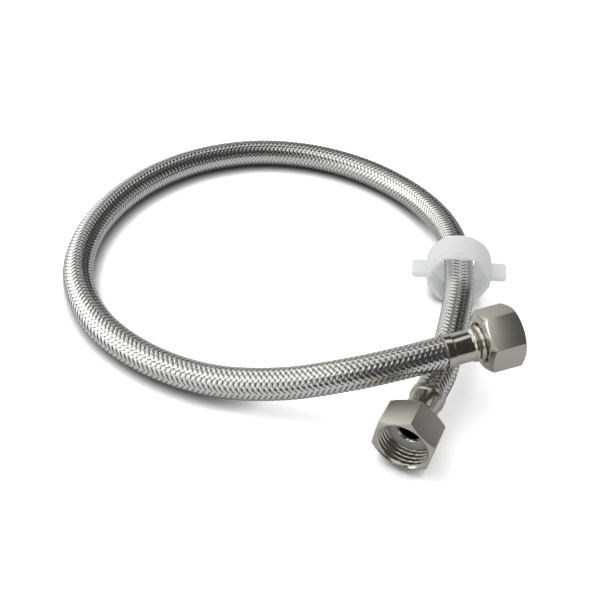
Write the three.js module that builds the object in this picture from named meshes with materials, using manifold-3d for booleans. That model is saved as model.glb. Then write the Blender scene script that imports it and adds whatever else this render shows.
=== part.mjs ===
// Braided flexible connecting hose, lying in one loop on a surface.
// Millimetres, +Z up. The origin is on the surface, below the middle of the object's box.
// Each end has a swivel nut on a nipple, a flat seal and a crimped ferrule.
// A loose wing sleeve is threaded on the hose near end A, to tighten the nut by hand.
import * as THREE from 'three';
import { mergeVertices } from 'three/addons/utils/BufferGeometryUtils.js';
import Module from 'manifold-3d';

const wasm = await Module();
wasm.setup();

// Gap kept between pieces that touch or turn on each other
const GAP = 0.3;

// Hose: a rubber tube inside a braided steel sleeve
const BRAID_OD = 12.6;
const BRAID_WALL = 0.6;
const TUBE_WALL = 1.4;
const HOSE_SIDES = 12;
const HOSE_STEPS = 44;

// Hose as it is squeezed under a ferrule
const CRIMP_SQUEEZE = 0.88;
const CRIMPED_BRAID_WALL = 0.42;
const CRIMPED_LENGTH = 9.0;
const NECK_LENGTH = 2.2;

// Crimped ferrule, which starts just past the end of the visible braid.
// Its bead, groove and ring are measured back from its far end
const FERRULE_START = 0.5;
const FERRULE_WALL = 0.4;
const LIP_LENGTH = 3.1;
const LIP_SLOPE = 0.3;
const BEAD_RISE = 0.68;
const BEAD_START_TO_END = 6.8;
const BEAD_CREST_TO_END = 4.0;
const GROOVE_TO_END = 2.4;
const GROOVE_DEPTH = 0.5;
const RING_CREST_TO_END = 1.2;
const FERRULE_LENGTH = 15.8;

// Nipple: barbed tail, neck, flange and spigot turned as one piece
const NIPPLE_WALL = 0.7;
const TAIL_START = 1.0;
const NECK_OD = 9.2;
const FERRULE_TO_FLANGE = 0.8;
const FLANGE_LENGTH = 1.6;
const FLANGE_CLEARANCE = 0.5;
const SPIGOT_OD = 9.4;
const SPIGOT_LENGTH = 2.6;
const SPIGOT_WALL = 0.6;
const MOUTH_DEPTH = 1.8;
const MOUTH_TAPER = 2.6;

// Flat seal on the nipple's flange
const SEAL_THICKNESS = 1.8;
const SEAL_EDGE = 0.2;

// Swivel nut, for a half-inch pipe thread
const THREAD_BORE = 18.8;
const NUT_WALL = 1.45;
const NUT_LENGTH = 14.0;
const NUT_BACK_WALL = 1.5;
const NUT_BACK_CLEARANCE = 0.45;
const NUT_BACK_EDGE = 1.45;
const NUT_CHAMFER_ANGLE = 30;
const NUT_FRONT_EDGE = 0.15;
const NUT_MOUTH_EDGE = 0.7;
const NUT_MOUTH_DEPTH = 0.7;

// Wing sleeve: a cup with a hexagonal socket, a web at its back and two wings
const SLEEVE_WALL = 1.12;
const SLEEVE_LENGTH = 13.4;
const SLEEVE_WEB = 1.6;
const SLEEVE_HOSE_CLEARANCE = 1.4;
const COLLAR_WALL = 2.0;
const COLLAR_LENGTH = 1.6;
const COLLAR_STEP = 0.4;
const SLEEVE_SHOULDER = 0.9;
const WING_REACH = 6.3;
const WING_THICKNESS = 3.1;
const WING_LENGTH = 8.8;
const WING_BACK = 2.2;
const WING_CORNER = 1.6;

// Sizes that follow from the ones above
const TUBE_BORE = BRAID_OD - 2 * (BRAID_WALL + GAP + TUBE_WALL);
const CRIMPED_BRAID_OD = BRAID_OD - 2 * CRIMP_SQUEEZE;
const LIP_OD = BRAID_OD + 2 * FERRULE_WALL;
const CRIMP_OD = CRIMPED_BRAID_OD + 2 * (GAP + FERRULE_WALL);
const BEAD_OD = CRIMP_OD + 2 * BEAD_RISE;
const FERRULE_END = FERRULE_START + FERRULE_LENGTH;
const BEAD_START = FERRULE_END - BEAD_START_TO_END;
const BEAD_CREST = FERRULE_END - BEAD_CREST_TO_END;
const GROOVE_PLACE = FERRULE_END - GROOVE_TO_END;
const RING_CREST = FERRULE_END - RING_CREST_TO_END;
const FLANGE_BACK = FERRULE_END + FERRULE_TO_FLANGE;
const TAIL_OD = TUBE_BORE - 2 * GAP;
const NIPPLE_BORE = TAIL_OD - 2 * NIPPLE_WALL;
const FLANGE_OD = THREAD_BORE - 2 * FLANGE_CLEARANCE;
const MOUTH_BORE = SPIGOT_OD - 2 * SPIGOT_WALL;
const NUT_ACROSS_FLATS = THREAD_BORE + 2 * NUT_WALL;
const NUT_CORNERS = NUT_ACROSS_FLATS / Math.cos(Math.PI / 6);
const NUT_BACK_BORE = BEAD_OD + 2 * NUT_BACK_CLEARANCE;
const NUT_BACK_FACE_OD = NUT_ACROSS_FLATS - 2 * NUT_BACK_EDGE;
const NUT_FRONT_FACE_OD = NUT_ACROSS_FLATS - 2 * NUT_FRONT_EDGE;
const NUT_MOUTH_OD = THREAD_BORE + 2 * NUT_MOUTH_EDGE;
const NUT_FORWARD = FLANGE_BACK - GAP - NUT_BACK_WALL;
const SOCKET_ACROSS_FLATS = NUT_ACROSS_FLATS + 2 * GAP;
const SLEEVE_OD = SOCKET_ACROSS_FLATS / Math.cos(Math.PI / 6) + 2 * SLEEVE_WALL;
const SLEEVE_HOLE = BRAID_OD + 2 * SLEEVE_HOSE_CLEARANCE;
const WINGSPAN = SLEEVE_OD + 2 * WING_REACH;

// Facets of the round pieces
const ROUND_SIDES = 32;

// Ends of the visible braid: where each is and which way it points,
// how far its nut has slid back from the flange, and the nut's turn
const END_A = { exit: [74.8, -50.6, 13.2], heading: -90, pitch: 0, nutSlide: 0.3, nutTurn: 5 };
const END_B = { exit: [73.8, -41.1, 26.6], heading: 42.6, pitch: 8, nutSlide: 0, nutTurn: -2 };

// Wing sleeve's middle, the way its open side points, and its turn on the hose
const SLEEVE_PLACE = { middle: [61.3, 23.7, SLEEVE_OD / 2], heading: -72, pitch: 0, turn: 7 };

// Route of the hose's centre line from end A round to end B
const ROUTE = [
  END_A.exit,
  [74.8, -38.6, 13.2], [71.3, -14.6, 13.8], [65.3, 12.4, 14], [54.8, 38.4, 13.5],
  [38.8, 60.9, 10], [16.3, 76.9, 7], [-10.7, 82.9, 6.5], [-38.2, 79.4, 6.5],
  [-62.7, 66.9, 6.5], [-81.7, 46.4, 6.5], [-93.2, 20.9, 6.5], [-96.7, -6.6, 6.5],
  [-92.2, -34.1, 6.5], [-79.2, -58.6, 6.5], [-57.2, -75.6, 6.5], [-30.2, -82.6, 6.5],
  [-2.7, -81.6, 8], [23.8, -74.1, 13.2], [47.8, -62.1, 20.6], [65.1, -49.1, 24.9],
  END_B.exit,
];

// A closed mesh as a solid, and back
function toSolid(geometry) {
  const bare = geometry.clone();
  bare.deleteAttribute('normal');
  bare.deleteAttribute('uv');
  const merged = mergeVertices(bare, 1e-5);
  return new wasm.Manifold(new wasm.Mesh({
    numProp: 3,
    vertProperties: new Float32Array(merged.attributes.position.array),
    triVerts: new Uint32Array(merged.index.array),
  }));
}

function toGeometry(solid) {
  const mesh = solid.getMesh();
  const geometry = new THREE.BufferGeometry();
  geometry.setAttribute('position', new THREE.BufferAttribute(new Float32Array(mesh.vertProperties), 3));
  geometry.setIndex(new THREE.BufferAttribute(new Uint32Array(mesh.triVerts), 1));
  return geometry;
}

// A body turned about Z from [radius, z] points, which run up the outside and down the inside
function turned(profile, sides = ROUND_SIDES) {
  const points = profile.map(([radius, z]) => new THREE.Vector2(radius, z));
  points.push(points[0].clone());
  return new THREE.LatheGeometry(points, sides).rotateX(Math.PI / 2);
}

// A solid cylinder or cone on Z from [radius, z] points that start and end on the axis
function turnedSolid(profile, sides = ROUND_SIDES) {
  const points = profile.map(([radius, z]) => new THREE.Vector2(radius, z));
  return new THREE.LatheGeometry(points, sides).rotateX(Math.PI / 2);
}

function polygon(radius, sides, turn = 0) {
  return Array.from({ length: sides }, (_, i) => {
    const angle = turn + (i * 2 * Math.PI) / sides;
    return new THREE.Vector2(radius * Math.cos(angle), radius * Math.sin(angle));
  });
}

// A hexagonal bar on Z with a corner at the given turn
function hexBar(acrossFlats, low, high, turn = 0) {
  const shape = new THREE.Shape(polygon(acrossFlats / Math.sqrt(3), 6, turn));
  return new THREE.ExtrudeGeometry(shape, { depth: high - low, bevelEnabled: false }).translate(0, 0, low);
}

// A group whose +Z points along a heading and pitch in degrees, with +Y as near up as it can be
function frameAt(position, heading, pitch) {
  const h = THREE.MathUtils.degToRad(heading);
  const p = THREE.MathUtils.degToRad(pitch);
  const z = new THREE.Vector3(Math.cos(h) * Math.cos(p), Math.sin(h) * Math.cos(p), Math.sin(p));
  const x = new THREE.Vector3(0, 0, 1).cross(z).normalize();
  const y = z.clone().cross(x);
  const group = new THREE.Group();
  group.position.set(...position);
  group.quaternion.setFromRotationMatrix(new THREE.Matrix4().makeBasis(x, y, z));
  return group;
}

const steel = new THREE.MeshStandardMaterial({ color: 0xb9b9b4, roughness: 0.32, metalness: 1 });
const nickel = new THREE.MeshStandardMaterial({ color: 0xa8a5a1, roughness: 0.18, metalness: 1 });
const rubber = new THREE.MeshStandardMaterial({ color: 0x1c1c1d, roughness: 0.8, metalness: 0 });
const sealRubber = new THREE.MeshStandardMaterial({ color: 0x8d9198, roughness: 0.6, metalness: 0 });
const clearPlastic = new THREE.MeshStandardMaterial({ color: 0xe6e8e8, roughness: 0.35, metalness: 0 });

function named(name, geometry, material) {
  const mesh = new THREE.Mesh(geometry, material);
  mesh.name = name;
  return mesh;
}

// The hose's route and the cross frames along it
const route = new THREE.CatmullRomCurve3(ROUTE.map((p) => new THREE.Vector3(...p)), false, 'centripetal');
const frames = route.computeFrenetFrames(HOSE_STEPS, false);

// One layer of the hose: a plain ring swept along the route, necked in where a ferrule squeezes it.
// free and crimped are { outer, inner } radii; the necked stubs start a little inside the swept wall.
function hoseLayer(free, crimped) {
  const section = new THREE.Shape(polygon(free.outer, HOSE_SIDES));
  section.holes.push(new THREE.Path(polygon(free.inner, HOSE_SIDES)));
  const swept = new THREE.ExtrudeGeometry(section, {
    extrudePath: route, steps: HOSE_STEPS, bevelEnabled: false,
  });
  const inset = 0.03;
  const overlap = 2.0;
  const shoulder = 0.35 * NECK_LENGTH;
  const midOuter = (free.outer + crimped.outer) / 2;
  const midInner = (free.inner + crimped.inner) / 2;
  const stub = turned([
    [free.outer - inset, -overlap], [free.outer - inset, 0], [midOuter, shoulder],
    [crimped.outer, NECK_LENGTH], [crimped.outer, CRIMPED_LENGTH], [crimped.inner, CRIMPED_LENGTH],
    [crimped.inner, NECK_LENGTH], [midInner, shoulder], [free.inner + inset, 0],
    [free.inner + inset, -overlap],
  ], HOSE_SIDES);
  let solid = toSolid(swept);
  for (const [index, outward] of [[0, -1], [HOSE_STEPS, 1]]) {
    const tangent = frames.tangents[index].clone().multiplyScalar(outward);
    const side = frames.normals[index].clone();
    const basis = new THREE.Matrix4().makeBasis(side, tangent.clone().cross(side), tangent);
    basis.setPosition(route.getPoint(index / HOSE_STEPS));
    solid = solid.add(toSolid(stub.clone().applyMatrix4(basis)));
  }
  return toGeometry(solid);
}

const braidFree = { outer: BRAID_OD / 2, inner: BRAID_OD / 2 - BRAID_WALL };
const braidCrimped = { outer: CRIMPED_BRAID_OD / 2, inner: CRIMPED_BRAID_OD / 2 - CRIMPED_BRAID_WALL };
const tubeFree = { outer: braidFree.inner - GAP, inner: TUBE_BORE / 2 };
const tubeCrimped = { outer: braidCrimped.inner - GAP, inner: TUBE_BORE / 2 };

// Ferrule: lip over the braid's end, crimp, bead, groove, and a ring turned in round the nipple's neck
function ferrule() {
  const lip = LIP_OD / 2;
  const crimp = CRIMP_OD / 2;
  const bead = BEAD_OD / 2;
  const groove = bead - GROOVE_DEPTH;
  const hole = NECK_OD / 2 + GAP;
  const lipEnd = FERRULE_START + LIP_LENGTH;
  const outside = [[lip, FERRULE_START], [lip, lipEnd], [crimp, lipEnd + LIP_SLOPE]];
  const inside = [[lip - FERRULE_WALL, FERRULE_START], [crimp - FERRULE_WALL, NECK_LENGTH + LIP_SLOPE]];
  const swell = 3;
  for (let i = 0; i <= swell; i += 1) {
    const rise = (1 - Math.cos((Math.PI * i) / swell)) / 2;
    outside.push([crimp + (bead - crimp) * rise, BEAD_START + ((BEAD_CREST - BEAD_START) * i) / swell]);
  }
  outside.push([groove, GROOVE_PLACE], [bead, RING_CREST]);
  inside.push(
    [crimp - FERRULE_WALL, BEAD_START], [bead - FERRULE_WALL, BEAD_CREST],
    [groove - FERRULE_WALL, GROOVE_PLACE], [bead - FERRULE_WALL, RING_CREST],
  );
  const close = 3;
  for (let i = 1; i <= close; i += 1) {
    const angle = (Math.PI * i) / (2 * close);
    outside.push([hole + (bead - hole) * Math.cos(angle), RING_CREST + RING_CREST_TO_END * Math.sin(angle)]);
  }
  inside.push([hole, FERRULE_END - FERRULE_WALL]);
  return turned([...outside, ...inside.reverse()]);
}

const flangeFront = FLANGE_BACK + FLANGE_LENGTH;
const spigotEnd = flangeFront + SPIGOT_LENGTH;

// Nipple: tail in the tube, shoulder behind the ferrule's turned-in end, neck, flange and spigot
function nipple() {
  const shoulder = CRIMPED_LENGTH + GAP;
  return turned([
    [TAIL_OD / 2, TAIL_START], [TAIL_OD / 2, shoulder], [NECK_OD / 2, shoulder],
    [NECK_OD / 2, FLANGE_BACK], [FLANGE_OD / 2, FLANGE_BACK], [FLANGE_OD / 2, flangeFront],
    [SPIGOT_OD / 2, flangeFront], [SPIGOT_OD / 2, spigotEnd], [MOUTH_BORE / 2, spigotEnd],
    [MOUTH_BORE / 2, spigotEnd - MOUTH_DEPTH], [NIPPLE_BORE / 2, spigotEnd - MOUTH_DEPTH - MOUTH_TAPER],
    [NIPPLE_BORE / 2, TAIL_START],
  ]);
}

// Flat seal between the flange and the fitting that the nut draws up to it
function seal() {
  const outer = THREAD_BORE / 2 - GAP;
  const inner = SPIGOT_OD / 2 + GAP;
  const back = flangeFront + GAP;
  const front = back + SEAL_THICKNESS;
  return turned([
    [outer, back], [outer, front - SEAL_EDGE], [outer - SEAL_EDGE, front],
    [inner, front], [inner, back],
  ]);
}

// Swivel nut: a hexagon cut by a cone at its back and by a chamfer that rounds its open end
function swivelNut(turnDegrees) {
  const corner = NUT_CORNERS / 2;
  const slope = Math.tan(THREE.MathUtils.degToRad(NUT_CHAMFER_ANGLE));
  const backFace = NUT_BACK_FACE_OD / 2;
  const frontFace = NUT_FRONT_FACE_OD / 2;
  const over = corner + 1;
  const turn = Math.PI / 2 - THREE.MathUtils.degToRad(turnDegrees);
  const bar = toSolid(hexBar(NUT_ACROSS_FLATS, -1, NUT_LENGTH + 1, turn));
  const trimmed = bar.intersect(toSolid(turnedSolid([
    [0, 0], [backFace, 0], [over, (over - backFace) * slope],
    [over, NUT_LENGTH - (over - frontFace) * slope], [frontFace, NUT_LENGTH], [0, NUT_LENGTH],
  ])));
  const mouth = NUT_MOUTH_OD / 2;
  const thread = THREAD_BORE / 2;
  const back = NUT_BACK_BORE / 2;
  const mouthSlope = (mouth - thread) / NUT_MOUTH_DEPTH;
  const hollow = toSolid(turnedSolid([
    [0, -1], [back, -1], [back, NUT_BACK_WALL], [thread, NUT_BACK_WALL],
    [thread, NUT_LENGTH - NUT_MOUTH_DEPTH], [mouth + mouthSlope, NUT_LENGTH + 1], [0, NUT_LENGTH + 1],
  ]));
  return toGeometry(trimmed.subtract(hollow));
}

// Wing sleeve: back face at z = 0, open hexagonal socket towards +Z, wings along X
function wingSleeve() {
  const round = SLEEVE_OD / 2;
  const step = round - COLLAR_STEP;
  const shoulderEnd = SLEEVE_LENGTH - COLLAR_LENGTH;
  const drum = toSolid(turnedSolid([
    [0, 0], [round, 0], [round, shoulderEnd - SLEEVE_SHOULDER],
    [round - SLEEVE_SHOULDER, shoulderEnd], [0, shoulderEnd],
  ]));
  const collar = toSolid(hexBar(SOCKET_ACROSS_FLATS + 2 * COLLAR_WALL, SLEEVE_WEB, SLEEVE_LENGTH))
    .intersect(toSolid(turnedSolid([[0, 0], [step, 0], [step, SLEEVE_LENGTH], [0, SLEEVE_LENGTH]])));
  let solid = drum.add(collar);
  const reach = WINGSPAN / 2;
  const low = WING_BACK;
  const high = WING_BACK + WING_LENGTH;
  for (const side of [1, -1]) {
    const plate = new THREE.Shape();
    plate.moveTo(0, low);
    plate.lineTo(reach - WING_CORNER, low);
    plate.quadraticCurveTo(reach, low, reach, low + WING_CORNER);
    plate.lineTo(reach, high - WING_CORNER);
    plate.quadraticCurveTo(reach, high, reach - WING_CORNER, high);
    plate.lineTo(0, high);
    const wing = new THREE.ExtrudeGeometry(plate, {
      depth: WING_THICKNESS, bevelEnabled: false, curveSegments: 3,
    }).translate(0, 0, -WING_THICKNESS / 2).rotateX(Math.PI / 2);
    if (side < 0) wing.rotateZ(Math.PI);
    solid = solid.add(toSolid(wing));
  }
  const hexSocket = toSolid(hexBar(SOCKET_ACROSS_FLATS, SLEEVE_WEB, SLEEVE_LENGTH + 1));
  const hole = SLEEVE_HOLE / 2;
  const webHole = toSolid(turnedSolid([[0, -1], [hole, -1], [hole, SLEEVE_LENGTH], [0, SLEEVE_LENGTH]]));
  return toGeometry(solid.subtract(hexSocket).subtract(webHole));
}

const hose = new THREE.Group();
hose.name = 'braided_flexible_hose';
hose.add(named('inner_tube', hoseLayer(tubeFree, tubeCrimped), rubber));
hose.add(named('braid_sleeve', hoseLayer(braidFree, braidCrimped), steel));

for (const [letter, end] of [['a', END_A], ['b', END_B]]) {
  const fitting = frameAt(end.exit, end.heading, end.pitch);
  fitting.add(named(`ferrule_${letter}`, ferrule(), nickel));
  fitting.add(named(`nipple_${letter}`, nipple(), nickel));
  fitting.add(named(`seal_washer_${letter}`, seal(), sealRubber));
  const nut = named(`swivel_nut_${letter}`, swivelNut(end.nutTurn), nickel);
  nut.position.z = NUT_FORWARD - end.nutSlide;
  fitting.add(nut);
  hose.add(fitting);
}

const sleeveFrame = frameAt(SLEEVE_PLACE.middle, SLEEVE_PLACE.heading, SLEEVE_PLACE.pitch);
const sleeve = named('wing_sleeve', wingSleeve(), clearPlastic);
sleeve.position.z = -SLEEVE_LENGTH / 2;
sleeve.rotation.z = THREE.MathUtils.degToRad(SLEEVE_PLACE.turn);
sleeveFrame.add(sleeve);
hose.add(sleeveFrame);

export default hose;
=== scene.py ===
# Braided flexible connecting hose, lying in one loop on a pale surface.
# Metres, +Z up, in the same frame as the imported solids.
# Each end has a swivel nut, a flat seal, a nipple and a crimped ferrule,
# and a loose wing sleeve is threaded on the hose.
import math

import bmesh
import bpy
import numpy as np
from bpy.props import FloatProperty, FloatVectorProperty, IntProperty, PointerProperty
from mathutils import Matrix, Vector


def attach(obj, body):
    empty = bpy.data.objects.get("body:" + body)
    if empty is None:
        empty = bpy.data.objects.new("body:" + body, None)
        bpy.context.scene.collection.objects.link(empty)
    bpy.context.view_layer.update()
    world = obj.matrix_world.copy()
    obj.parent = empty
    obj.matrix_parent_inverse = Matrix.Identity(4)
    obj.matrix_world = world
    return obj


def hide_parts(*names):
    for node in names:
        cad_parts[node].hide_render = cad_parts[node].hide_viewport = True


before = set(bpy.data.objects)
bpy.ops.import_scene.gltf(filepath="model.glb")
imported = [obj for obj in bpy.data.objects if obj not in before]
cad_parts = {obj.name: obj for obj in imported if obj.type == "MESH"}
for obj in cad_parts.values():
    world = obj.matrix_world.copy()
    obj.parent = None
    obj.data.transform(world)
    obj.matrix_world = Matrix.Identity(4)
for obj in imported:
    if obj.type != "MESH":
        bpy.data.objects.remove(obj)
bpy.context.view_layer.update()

bl_info = {
    "name": "Braided flexible hose",
    "version": (1, 0, 0),
    "blender": (4, 5, 0),
    "location": "3D View > Sidebar > Hose",
    "description": "Builds a braided connecting hose with its swivel nuts and wing sleeve",
    "category": "Add Mesh",
}

MM = 0.001

# Route of the hose's centre line, from the braid's end A round to its end B
ROUTE = [
    (0.0748, -0.0506, 0.0132), (0.0748, -0.0386, 0.0132), (0.0713, -0.0146, 0.0138),
    (0.0653, 0.0124, 0.014), (0.0548, 0.0384, 0.0135), (0.0388, 0.0609, 0.01),
    (0.0163, 0.0769, 0.007), (-0.0107, 0.0829, 0.0065), (-0.0382, 0.0794, 0.0065),
    (-0.0627, 0.0669, 0.0065), (-0.0817, 0.0464, 0.0065), (-0.0932, 0.0209, 0.0065),
    (-0.0967, -0.0066, 0.0065), (-0.0922, -0.0341, 0.0065), (-0.0792, -0.0586, 0.0065),
    (-0.0572, -0.0756, 0.0065), (-0.0302, -0.0826, 0.0065), (-0.0027, -0.0816, 0.008),
    (0.0238, -0.0741, 0.0132), (0.0478, -0.0621, 0.0206), (0.0651, -0.0491, 0.0249),
    (0.0738, -0.0411, 0.0266),
]

# Steps of the curve from one point of the route to the next, and the points of the path taken from the
# centre line
ROUTE_STEPS = 60
PATH_POINTS = 180

# Each end of the braid: where it is, its heading and pitch in degrees, how far its nut has slid back
# from the flange, and the nut's turn in degrees
ENDS = {
    "a": {"exit": ROUTE[0], "heading": -90, "pitch": 0, "slide": 0.3 * MM, "turn": 5},
    "b": {"exit": ROUTE[-1], "heading": 42.6, "pitch": 8, "slide": 0.0, "turn": -2},
}

# Soft panels that the metal mirrors: heading, elevation, half width and half height in degrees, brightness
PANELS = [
    (188, 18, 40, 32, 1.35),
    (-122, 65, 20, 13, 1.45),
    (-124, 21, 40, 15, 0.95),
    (128, 10, 21, 18, 0.55),
    (112, 67, 16, 10, 1.0),
    (40, 16, 20, 16, 0.25),
]
PANEL_COLOUR = (1, 0.995, 0.98)

# How bright the studio is between the panels, how wide a panel's soft edge is, and how sharply a panel
# ends where its back would begin
STUDIO_DARK = 0.04
PANEL_SOFTNESS = 0.12
PANEL_FRONT = 20

# Soft light on everything that doesn't mirror: its middle level, and how much it leans to the left
AMBIENT_LEVEL = 0.8
AMBIENT_LEAN = 0.4

# The lamp: its place and size in metres, and its power in watts
LAMP_PLACE = (-0.4, -0.05, 0.6)
LAMP_SIZE = 0.6
LAMP_POWER = 1.5

# The floor: half its size, its height just below the hose, and how wide the painted shadow round a contact
# is
FLOOR_SIZE = 6.0
FLOOR_PLACE = -0.0001
PAINTED_SHADOW_REACH = 0.0055

# The camera: its place, its heading, tilt down and roll in degrees, and its focal length in pixels
CAMERA_PLACE = (0.1143, -0.2871, 0.26443)
CAMERA_HEADING = 22
CAMERA_DROP = 42
CAMERA_ROLL = 6
FOCAL_PIXELS = 911.2
PICTURE_WIDTH = 600
SENSOR_WIDTH = 36.0

# Where the wing sleeve lies, the way its open side points, and its turn on the hose in degrees
SLEEVE_MIDDLE = (0.0613, 0.0237, 0.014)
SLEEVE_HEADING = -72
SLEEVE_TURN = 7

# Strand: its section as shares of half its width and of its height, its rows of faces from one crossing
# to the next, the fine wires across it, and how far it runs on inside a ferrule
STRAND_SECTION = [
    (-1.0, 0.0), (-0.66, 0.8), (0.0, 1.0), (0.66, 0.8),
    (1.0, 0.0), (0.55, -1.0), (-0.55, -1.0), (-1.0, 0.0),
]
ROWS_PER_CROSSING = 2
WIRES_ACROSS = 12.25
STRAND_OVERRUN = 2.0 * MM

# Rubber tube: rows and columns of faces, and how far it runs on inside a ferrule
TUBE_ROWS = 300
TUBE_COLUMNS = 24
TUBE_OVERRUN = 8.0 * MM

# Turned pieces: their facets, the steps of one rounded corner, and the most of an edge that it takes up
TURNED_SIDES = 96
CORNER_STEPS = 3
CORNER_SHARE = 0.45

# Edges sharper than this, in degrees, aren't shaded smooth
SHARP_ANGLE = 40

# Ferrule: the hole in its turned-in end, the slope behind its lip, where its narrow inside begins, how far
# its end ring lies inside its bead, and the steps of the bead and of the ring
FERRULE_HOLE = 4.9 * MM
LIP_SLOPE = 0.3 * MM
CRIMP_INSIDE = 2.5 * MM
RING_INSET = 0.02 * MM
SWELL_STEPS = 8
CLOSE_STEPS = 9

# Soft flats that the crimping jaws leave: how many and how deep, where they begin, how they fade in and
# out, and how far they reach past the bead's start
JAWS = 8
JAW_DEPTH = 0.045 * MM
JAW_START = 4.2 * MM
JAW_FADE_IN = 0.5 * MM
JAW_FADE_OUT = 0.8 * MM
JAW_PAST_BEAD = 0.2 * MM

# Nipple: tail and neck, then the mouth and the painted shade deep inside its rim, measured back from the
# rim's end
TAIL_START = 1.0 * MM
TAIL_RADIUS = 3.7 * MM
NECK_START = 9.3 * MM
NECK_RADIUS = 4.6 * MM
RIM_WIDTH = 0.25 * MM
MOUTH_INSET = 0.8 * MM
MOUTH_TAPER = 0.05 * MM
MOUTH_CHAMFER = 0.7 * MM
MOUTH_DEPTH = 1.8 * MM
BORE_DEPTH = 4.4 * MM
PAINTED_SHADE_DEPTH = 1.2 * MM
PAINTED_SHADE_REACH = 0.02 * MM
SEAL_GAP = 0.3 * MM

# Swivel nut: columns and rows of faces, edges, and where its thread starts, ends and fades
NUT_COLUMNS = 192
THREAD_ROWS = 104
NUT_SLOPE = math.tan(math.radians(30))
NUT_CORNER = 0.35 * MM
NUT_SOFT_EDGE = 0.12 * MM
COUNTERSINK = 0.8 * MM
BACK_SOFT_EDGE = 0.2 * MM
INSIDE_CORNER = 0.3 * MM
CUT_FACE_INSET = 0.03 * MM
THREAD_LEAD = 0.5 * MM
THREAD_STOP = 4.2 * MM
THREAD_FADE = 1.2 * MM
RIDGE_SLOPE = 1.4
RIDGE_FLAT = 0.2

# Hexagons: the angle of a side and of half a side, and how much closer columns lie near the corners
HEXAGON_SIDES = 6
SIDE_ANGLE = math.radians(60)
HALF_SIDE = math.radians(30)
CORNER_CROWDING = 2.2

# Wing sleeve: columns of faces, the corners of its collar and socket, the steps of its shoulder,
# how far its wings start inside the drum, the corners of their tips, and its softened edges
SLEEVE_COLUMNS = 144
COLLAR_CORNER = 2.0 * MM
SOCKET_CORNER = 0.5 * MM
SHOULDER_STEPS = 6
WING_ROOT = 0.7 * MM
WING_CORNER = 1.6 * MM
WING_CORNER_STEPS = 6
SOFT_EDGE_ANGLE = math.radians(35)
SOFT_EDGE_WIDTH = 0.3 * MM
SOFT_EDGE_STEPS = 3


def length_value(name, description, value_mm):
    return FloatProperty(name=name, description=description, default=value_mm * MM, unit="LENGTH", min=0)


def colour_value(name, description, rgb):
    return FloatVectorProperty(
        name=name, description=description, default=rgb, subtype="COLOR", size=3, min=0, max=1
    )


class HoseSizes(bpy.types.PropertyGroup):
    """Sizes of the rubber tube and of the braid over it"""

    braid_radius: length_value("Braid radius", "Outside radius of the braid", 6.3)
    tube_radius: length_value("Tube radius", "Outside radius of the rubber tube", 5.5)
    tube_bore: length_value("Tube bore", "Inside radius of the rubber tube", 4.0)
    neck_radius: length_value("Neck radius", "Outside radius of the braid inside a ferrule", 5.42)
    neck_length: length_value("Neck length", "Length over which the braid narrows", 2.2)
    strands: IntProperty(name="Strands", description="Strands wound each way", default=12, min=4)
    pitch: length_value("Pitch", "Length in which a strand goes once round", 25.0)
    strand_width: length_value("Strand width", "Width of one flat strand", 1.36)
    strand_height: length_value("Strand height", "Thickness of one flat strand above its middle", 0.09)
    weave_height: length_value("Weave height", "How far a strand rises and dives", 0.135)
    row_turn: FloatProperty(
        name="Row turn", description="Turn of the braid's rows about the hose", default=0.0, subtype="ANGLE"
    )


class FittingSizes(bpy.types.PropertyGroup):
    """Sizes of the ferrules, nipples, seals and nuts, measured from the end of the visible braid"""

    ferrule_start: length_value("Ferrule start", "Where the lip begins", 0.5)
    ferrule_end: length_value("Ferrule end", "Where the turned-in end is", 16.3)
    lip_radius: length_value("Lip radius", "Outside radius of the lip", 6.7)
    lip_end: length_value("Lip end", "Where the lip steps down to the crimp", 3.6)
    crimp_radius: length_value("Crimp radius", "Outside radius of the crimped part", 6.12)
    bead_radius: length_value("Bead radius", "Outside radius of the bead", 6.8)
    bead_start: length_value("Bead start", "Where the bead begins to swell", 10.6)
    bead_crest: length_value("Bead crest", "Where the bead is widest", 12.3)
    groove_place: length_value("Groove place", "Where the groove past the bead is deepest", 13.9)
    groove_depth: length_value("Groove depth", "Depth of the groove below the bead", 0.5)
    ring_crest: length_value("Ring crest", "Where the end ring is widest", 15.1)
    ferrule_wall: length_value("Ferrule wall", "Thickness of the ferrule", 0.4)
    flange_back: length_value("Flange back", "Where the nipple's flange begins", 17.1)
    flange_length: length_value("Flange length", "Thickness of the nipple's flange", 1.6)
    flange_radius: length_value("Flange radius", "Outside radius of the nipple's flange", 8.9)
    spigot_radius: length_value("Spigot radius", "Outside radius of the nipple's rim", 4.7)
    spigot_end: length_value("Spigot end", "Where the nipple's rim ends", 21.3)
    bore_radius: length_value("Bore radius", "Radius of the water way through the nipple", 3.0)
    seal_back: length_value("Seal back", "Where the flat seal begins", 19.0)
    seal_front: length_value("Seal front", "Where the flat seal ends", 20.8)
    seal_radius: length_value("Seal radius", "Outside radius of the flat seal", 9.1)
    nut_flats: length_value("Nut flats", "Distance across the nut's flats", 21.7)
    nut_length: length_value("Nut length", "Length of the nut", 14.0)
    nut_hole: length_value("Nut hole", "Radius of the hole in the nut's back", 7.25)
    nut_wall: length_value("Nut wall", "Thickness of the nut's back", 1.5)
    nut_forward: length_value("Nut forward", "Where the nut's back is when it is drawn up", 15.3)
    back_edge: length_value("Back edge", "How far the back face lies inside the flats", 1.45)
    front_edge: length_value("Front edge", "How far the front face lies inside the flats", 0.15)
    mouth_edge: length_value("Mouth edge", "How far the mouth opens past the thread's crests", 0.8)
    thread_minor: length_value("Thread crest", "Radius at the thread's crests", 9.32)
    thread_major: length_value("Thread root", "Radius at the thread's roots", 10.46)
    thread_pitch: length_value("Thread pitch", "Pitch of the half-inch pipe thread", 1.814)


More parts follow.
